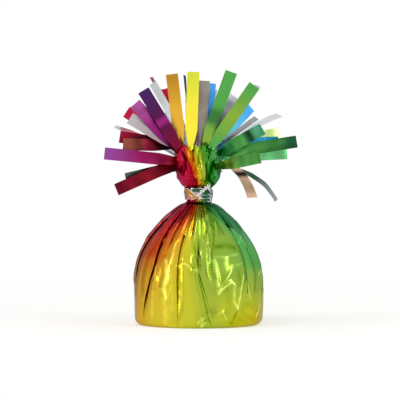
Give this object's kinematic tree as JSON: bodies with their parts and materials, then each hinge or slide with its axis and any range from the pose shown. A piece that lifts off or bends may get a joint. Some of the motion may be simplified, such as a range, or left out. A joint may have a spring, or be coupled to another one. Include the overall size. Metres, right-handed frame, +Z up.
{
  "type": "balloon weight",
  "caption": "Foil-wrapped balloon weight: a tub of sand in gathered rainbow film, tied at the neck with a metallised tie, under a fanned fringe of cut film strips.",
  "frame": {"origin": "middle of the flat underside", "axes": "+Z up through the neck; the side shown in the picture looks along -Y, +X to its right"},
  "size_m": [0.1057, 0.0994, 0.1405],
  "materials": {
    "film_wrap": "metallised film, bright",
    "film_neck": "metallised film, bright",
    "film_yellow": "metallised film, bright",
    "film_gold": "metallised film, bright",
    "film_green": "metallised film, bright",
    "film_blue": "metallised film, bright",
    "film_purple": "metallised film, bright",
    "film_magenta": "metallised film, bright",
    "film_crimson": "metallised film, bright",
    "film_silver": "metallised film, bright",
    "tie_foil": "bright metallised",
    "tub_white": "moulded",
    "sand": "loose grains"
  },
  "bodies": {
    "weight": {"weight_tub": "tub_white", "tub_lid": "tub_white", "sand_fill": "sand", "film_wrap": "film_wrap", "film_neck": "film_neck", "tie_wrap": "tie_foil"},
    "tail": {"tie_tail": "tie_foil"},
    "strip_front_01": {"fringe_front_01": "film_yellow"},
    "strip_front_02": {"fringe_front_02": "film_gold"},
    "strip_front_03": {"fringe_front_03": "film_green"},
    "strip_front_04": {"fringe_front_04": "film_green"},
    "strip_front_05": {"fringe_front_05": "film_purple"},
    "strip_front_06": {"fringe_front_06": "film_silver"},
    "strip_front_07": {"fringe_front_07": "film_purple"},
    "strip_left_01": {"fringe_left_01": "film_magenta"},
    "strip_left_02": {"fringe_left_02": "film_silver"},
    "strip_left_03": {"fringe_left_03": "film_crimson"},
    "strip_left_04": {"fringe_left_04": "film_crimson"},
    "strip_left_06": {"fringe_left_06": "film_crimson"},
    "strip_left_07": {"fringe_left_07": "film_crimson"},
    "strip_left_08": {"fringe_left_08": "film_silver"},
    "strip_left_09": {"fringe_left_09": "film_crimson"},
    "strip_right_01": {"fringe_right_01": "film_blue"},
    "strip_right_02": {"fringe_right_02": "film_silver"},
    "strip_right_03": {"fringe_right_03": "film_silver"},
    "strip_right_04": {"fringe_right_04": "film_blue"},
    "strip_right_05": {"fringe_right_05": "film_green"},
    "strip_right_06": {"fringe_right_06": "film_blue"},
    "strip_right_08": {"fringe_right_08": "film_yellow"},
    "strip_right_09": {"fringe_right_09": "film_blue"},
    "strip_back_01": {"fringe_back_01": "film_silver"},
    "strip_back_02": {"fringe_back_02": "film_silver"},
    "strip_back_03": {"fringe_back_03": "film_blue"},
    "strip_back_04": {"fringe_back_04": "film_purple"},
    "strip_left_05": {"fringe_left_05": "film_silver"},
    "strip_left_10": {"fringe_left_10": "film_magenta"},
    "strip_left_11": {"fringe_left_11": "film_crimson"},
    "strip_left_12": {"fringe_left_12": "film_silver"},
    "strip_right_07": {"fringe_right_07": "film_green"},
    "strip_right_10": {"fringe_right_10": "film_green"},
    "strip_right_11": {"fringe_right_11": "film_green"},
    "strip_right_12": {"fringe_right_12": "film_green"},
    "strip_right_13": {"fringe_right_13": "film_gold"},
    "strip_right_14": {"fringe_right_14": "film_green"},
    "strip_back_05": {"fringe_back_05": "film_blue"},
    "strip_back_06": {"fringe_back_06": "film_magenta"},
    "strip_back_07": {"fringe_back_07": "film_green"},
    "strip_back_08": {"fringe_back_08": "film_purple"},
    "strip_back_09": {"fringe_back_09": "film_crimson"},
    "strip_back_10": {"fringe_back_10": "film_blue"},
    "strip_back_11": {"fringe_back_11": "film_magenta"},
    "strip_back_12": {"fringe_back_12": "film_green"},
    "strip_back_13": {"fringe_back_13": "film_crimson"}
  },
  "joints": [
    {"name": "tail_bend", "type": "hinge", "parent": "weight", "child": "tail", "pos_m": [-0.001, -0.00972, 0.0717], "axis": [0.6691, 0.7431, 0], "range_deg": [-30, 30]},
    {"name": "bend_front_01", "type": "hinge", "parent": "weight", "child": "strip_front_01", "pos_m": [-0.00435, -0.01156, 0.09545], "axis": [0.9993, 0, -0.0369], "range_deg": [-6, 12], "stiffness_Nm_per_rad": 0.002},
    {"name": "bend_front_02", "type": "hinge", "parent": "weight", "child": "strip_front_02", "pos_m": [-0.00952, -0.00762, 0.09573], "axis": [0.9931, 0, 0.117], "range_deg": [-3, 6.5], "stiffness_Nm_per_rad": 0.002},
    {"name": "bend_front_03", "type": "hinge", "parent": "weight", "child": "strip_front_03", "pos_m": [0.00245, -0.00857, 0.09645], "axis": [0.9408, 0, -0.3389], "range_deg": [-12, 8], "stiffness_Nm_per_rad": 0.002},
    {"name": "bend_front_04", "type": "hinge", "parent": "weight", "child": "strip_front_04", "pos_m": [0.00566, -0.00994, 0.09595], "axis": [0.8262, 0, -0.5634], "range_deg": [-3, 12], "stiffness_Nm_per_rad": 0.002},
    {"name": "bend_front_05", "type": "hinge", "parent": "weight", "child": "strip_front_05", "pos_m": [-0.00902, -0.00931, 0.09437], "axis": [0.8602, 0, 0.51], "range_deg": [-2.5, 8], "stiffness_Nm_per_rad": 0.002},
    {"name": "bend_front_06", "type": "hinge", "parent": "weight", "child": "strip_front_06", "pos_m": [0.00054, -0.00462, 0.09552], "axis": [-0.9981, 0, 0.0613], "range_deg": [-8.5, 7.5], "stiffness_Nm_per_rad": 0.002},
    {"name": "bend_front_07", "type": "hinge", "parent": "weight", "child": "strip_front_07", "pos_m": [-0.00517, -0.00721, 0.09553], "axis": [0, -0.9976, 0.0687], "range_deg": [-6.5, 9], "stiffness_Nm_per_rad": 0.002},
    {"name": "bend_left_01", "type": "hinge", "parent": "weight", "child": "strip_left_01", "pos_m": [-0.01178, -0.00466, 0.09656], "axis": [0.7486, 0, 0.663], "range_deg": [-1.5, 3], "stiffness_Nm_per_rad": 0.002},
    {"name": "bend_left_02", "type": "hinge", "parent": "weight", "child": "strip_left_02", "pos_m": [-0.01008, -0.00235, 0.09732], "axis": [-0.5232, 0, -0.8522], "range_deg": [-1.5, 7], "stiffness_Nm_per_rad": 0.002},
    {"name": "bend_left_03", "type": "hinge", "parent": "weight", "child": "strip_left_03", "pos_m": [-0.01072, 0.00295, 0.09821], "axis": [0.1573, 0, 0.9876], "range_deg": [-7.5, 12], "stiffness_Nm_per_rad": 0.002},
    {"name": "bend_left_04", "type": "hinge", "parent": "weight", "child": "strip_left_04", "pos_m": [-0.01306, 0.00054, 0.0986], "axis": [0.0407, 0, 0.9992], "range_deg": [-12, 4], "stiffness_Nm_per_rad": 0.002},
    {"name": "bend_left_06", "type": "hinge", "parent": "weight", "child": "strip_left_06", "pos_m": [-0.01083, 0.00526, 0.09791], "axis": [0.5391, 0, 0.8422], "range_deg": [-10, 12], "stiffness_Nm_per_rad": 0.002},
    {"name": "bend_left_07", "type": "hinge", "parent": "weight", "child": "strip_left_07", "pos_m": [-0.00544, 0.00381, 0.09537], "axis": [-0.2924, -0.9563, 0], "range_deg": [-2, 7], "stiffness_Nm_per_rad": 0.002},
    {"name": "bend_left_08", "type": "hinge", "parent": "weight", "child": "strip_left_08", "pos_m": [-0.00422, -0.0015, 0.09698], "axis": [-0.8639, 0, -0.5037], "range_deg": [-7.5, 2.5], "stiffness_Nm_per_rad": 0.002},
    {"name": "bend_left_09", "type": "hinge", "parent": "weight", "child": "strip_left_09", "pos_m": [-0.00721, 0.00843, 0.09633], "axis": [0.9529, 0, 0.3034], "range_deg": [-7.5, 6.5], "stiffness_Nm_per_rad": 0.002},
    {"name": "bend_right_01", "type": "hinge", "parent": "weight", "child": "strip_right_01", "pos_m": [0.00204, 0.00204, 0.09586], "axis": [0.9872, 0, -0.1592], "range_deg": [-10, 7.5], "stiffness_Nm_per_rad": 0.002},
    {"name": "bend_right_02", "type": "hinge", "parent": "weight", "child": "strip_right_02", "pos_m": [0.00503, -0.00639, 0.09731], "axis": [-0.7982, 0, 0.6024], "range_deg": [-12, 2.5], "stiffness_Nm_per_rad": 0.002},
    {"name": "bend_right_03", "type": "hinge", "parent": "weight", "child": "strip_right_03", "pos_m": [0.00639, 0.00014, 0.09539], "axis": [-0.2079, 0.9781, 0], "range_deg": [-3.5, 7], "stiffness_Nm_per_rad": 0.002},
    {"name": "bend_right_04", "type": "hinge", "parent": "weight", "child": "strip_right_04", "pos_m": [0.00666, 0.00544, 0.09787], "axis": [0.6475, 0, -0.762], "range_deg": [-4, 9], "stiffness_Nm_per_rad": 0.002},
    {"name": "bend_right_05", "type": "hinge", "parent": "weight", "child": "strip_right_05", "pos_m": [0.00843, -0.00218, 0.09542], "axis": [-0.1392, 0.9903, 0], "range_deg": [-9, 5.5], "stiffness_Nm_per_rad": 0.002},
    {"name": "bend_right_06", "type": "hinge", "parent": "weight", "child": "strip_right_06", "pos_m": [0.00748, 0.01156, 0.09544], "axis": [-0.4384, 0.8988, 0], "range_deg": [-3.5, 3.5], "stiffness_Nm_per_rad": 0.002},
    {"name": "bend_right_08", "type": "hinge", "parent": "weight", "child": "strip_right_08", "pos_m": [0.01038, 0.00498, 0.09832], "axis": [0.1782, 0, -0.984], "range_deg": [-3, 4], "stiffness_Nm_per_rad": 0.002},
    {"name": "bend_right_09", "type": "hinge", "parent": "weight", "child": "strip_right_09", "pos_m": [0.0122, 0.00323, 0.09856], "axis": [0.0382, 0, -0.9993], "range_deg": [-4, 2.5], "stiffness_Nm_per_rad": 0.002},
    {"name": "bend_back_01", "type": "hinge", "parent": "weight", "child": "strip_back_01", "pos_m": [0.00272, 0.00843, 0.0954], "axis": [-0.9999, 0, 0.0141], "range_deg": [-10, 3.5], "stiffness_Nm_per_rad": 0.002},
    {"name": "bend_back_02", "type": "hinge", "parent": "weight", "child": "strip_back_02", "pos_m": [-0.00354, 0.01006, 0.09542], "axis": [-0.9999, 0, -0.017], "range_deg": [-3, 9], "stiffness_Nm_per_rad": 0.002},
    {"name": "bend_back_03", "type": "hinge", "parent": "weight", "child": "strip_back_03", "pos_m": [0.00095, 0.01265, 0.0954], "axis": [-0.9781, 0.2079, 0], "range_deg": [-11, 9], "stiffness_Nm_per_rad": 0.002},
    {"name": "bend_back_04", "type": "hinge", "parent": "weight", "child": "strip_back_04", "pos_m": [-0.00585, 0.01224, 0.0954], "axis": [-0.9135, -0.4067, 0], "range_deg": [-9.5, 10], "stiffness_Nm_per_rad": 0.002},
    {"name": "bend_left_05", "type": "hinge", "parent": "weight", "child": "strip_left_05", "pos_m": [-0.01297, 0.00709, 0.0938], "axis": [-0.0698, -0.9976, 0], "range_deg": [-6.5, 12], "stiffness_Nm_per_rad": 0.002},
    {"name": "bend_left_10", "type": "hinge", "parent": "weight", "child": "strip_left_10", "pos_m": [-0.01111, -0.00496, 0.09029], "axis": [0.1217, 0, 0.9926], "range_deg": [-4, 12], "stiffness_Nm_per_rad": 0.002},
    {"name": "bend_left_11", "type": "hinge", "parent": "weight", "child": "strip_left_11", "pos_m": [-0.01239, -0.0009, 0.08885], "axis": [-0.3857, 0, 0.9226], "range_deg": [-2.5, 6], "stiffness_Nm_per_rad": 0.002},
    {"name": "bend_left_12", "type": "hinge", "parent": "weight", "child": "strip_left_12", "pos_m": [-0.01232, 0.00387, 0.08678], "axis": [0.2156, 0, -0.9765], "range_deg": [-2.5, 12], "stiffness_Nm_per_rad": 0.002},
    {"name": "bend_right_07", "type": "hinge", "parent": "weight", "child": "strip_right_07", "pos_m": [0.01145, -0.00859, 0.09463], "axis": [0.5265, 0, -0.8502], "range_deg": [-12, 3.5], "stiffness_Nm_per_rad": 0.002},
    {"name": "bend_right_10", "type": "hinge", "parent": "weight", "child": "strip_right_10", "pos_m": [0.01331, -0.00481, 0.09445], "axis": [0.1735, 0, -0.9848], "range_deg": [-12, 12], "stiffness_Nm_per_rad": 0.002},
    {"name": "bend_right_11", "type": "hinge", "parent": "weight", "child": "strip_right_11", "pos_m": [0.01408, 0, 0.09251], "axis": [0.0379, 0, -0.9993], "range_deg": [-3, 12], "stiffness_Nm_per_rad": 0.002},
    {"name": "bend_right_12", "type": "hinge", "parent": "weight", "child": "strip_right_12", "pos_m": [0.01068, -0.00896, 0.0875], "axis": [0.2545, 0, -0.9671], "range_deg": [-6, 12], "stiffness_Nm_per_rad": 0.002},
    {"name": "bend_right_13", "type": "hinge", "parent": "weight", "child": "strip_right_13", "pos_m": [0.01488, -0.00298, 0.08869], "axis": [0.8387, 0.5446, 0], "range_deg": [-6, 12], "stiffness_Nm_per_rad": 0.002},
    {"name": "bend_right_14", "type": "hinge", "parent": "weight", "child": "strip_right_14", "pos_m": [0.0131, 0.00231, 0.08755], "axis": [-0.0523, 0.9986, 0], "range_deg": [-12, 12], "stiffness_Nm_per_rad": 0.002},
    {"name": "bend_back_05", "type": "hinge", "parent": "weight", "child": "strip_back_05", "pos_m": [0.00123, 0.01404, 0.0945], "axis": [-0.9903, 0.1392, 0], "range_deg": [-9, 12], "stiffness_Nm_per_rad": 0.002},
    {"name": "bend_back_06", "type": "hinge", "parent": "weight", "child": "strip_back_06", "pos_m": [-0.00645, 0.01265, 0.0945], "axis": [-0.9272, -0.3746, 0], "range_deg": [-10, 12], "stiffness_Nm_per_rad": 0.002},
    {"name": "bend_back_07", "type": "hinge", "parent": "weight", "child": "strip_back_07", "pos_m": [0.00715, 0.01145, 0.0915], "axis": [-0.8387, 0.5446, 0], "range_deg": [-11.5, 12], "stiffness_Nm_per_rad": 0.002},
    {"name": "bend_back_08", "type": "hinge", "parent": "weight", "child": "strip_back_08", "pos_m": [-0.00141, 0.0134, 0.091], "axis": [-0.9976, -0.0698, 0], "range_deg": [-12, 12], "stiffness_Nm_per_rad": 0.002},
    {"name": "bend_back_09", "type": "hinge", "parent": "weight", "child": "strip_back_09", "pos_m": [-0.00895, 0.00994, 0.091], "axis": [-0.7431, -0.6691, 0], "range_deg": [-12, 10.5], "stiffness_Nm_per_rad": 0.002},
    {"name": "bend_back_10", "type": "hinge", "parent": "weight", "child": "strip_back_10", "pos_m": [0.00312, 0.01252, 0.0865], "axis": [-0.9848, 0.1736, 0], "range_deg": [-12, 12], "stiffness_Nm_per_rad": 0.002},
    {"name": "bend_back_11", "type": "hinge", "parent": "weight", "child": "strip_back_11", "pos_m": [-0.00496, 0.01229, 0.0865], "axis": [-0.9781, -0.2079, 0], "range_deg": [-12, 12], "stiffness_Nm_per_rad": 0.002},
    {"name": "bend_back_12", "type": "hinge", "parent": "weight", "child": "strip_back_12", "pos_m": [0.01017, 0.00794, 0.088], "axis": [-0.6157, 0.788, 0], "range_deg": [-12, 12], "stiffness_Nm_per_rad": 0.002},
    {"name": "bend_back_13", "type": "hinge", "parent": "weight", "child": "strip_back_13", "pos_m": [-0.01047, 0.00761, 0.0875], "axis": [-0.5592, -0.829, 0], "range_deg": [-10.5, 12], "stiffness_Nm_per_rad": 0.002}
  ]
}
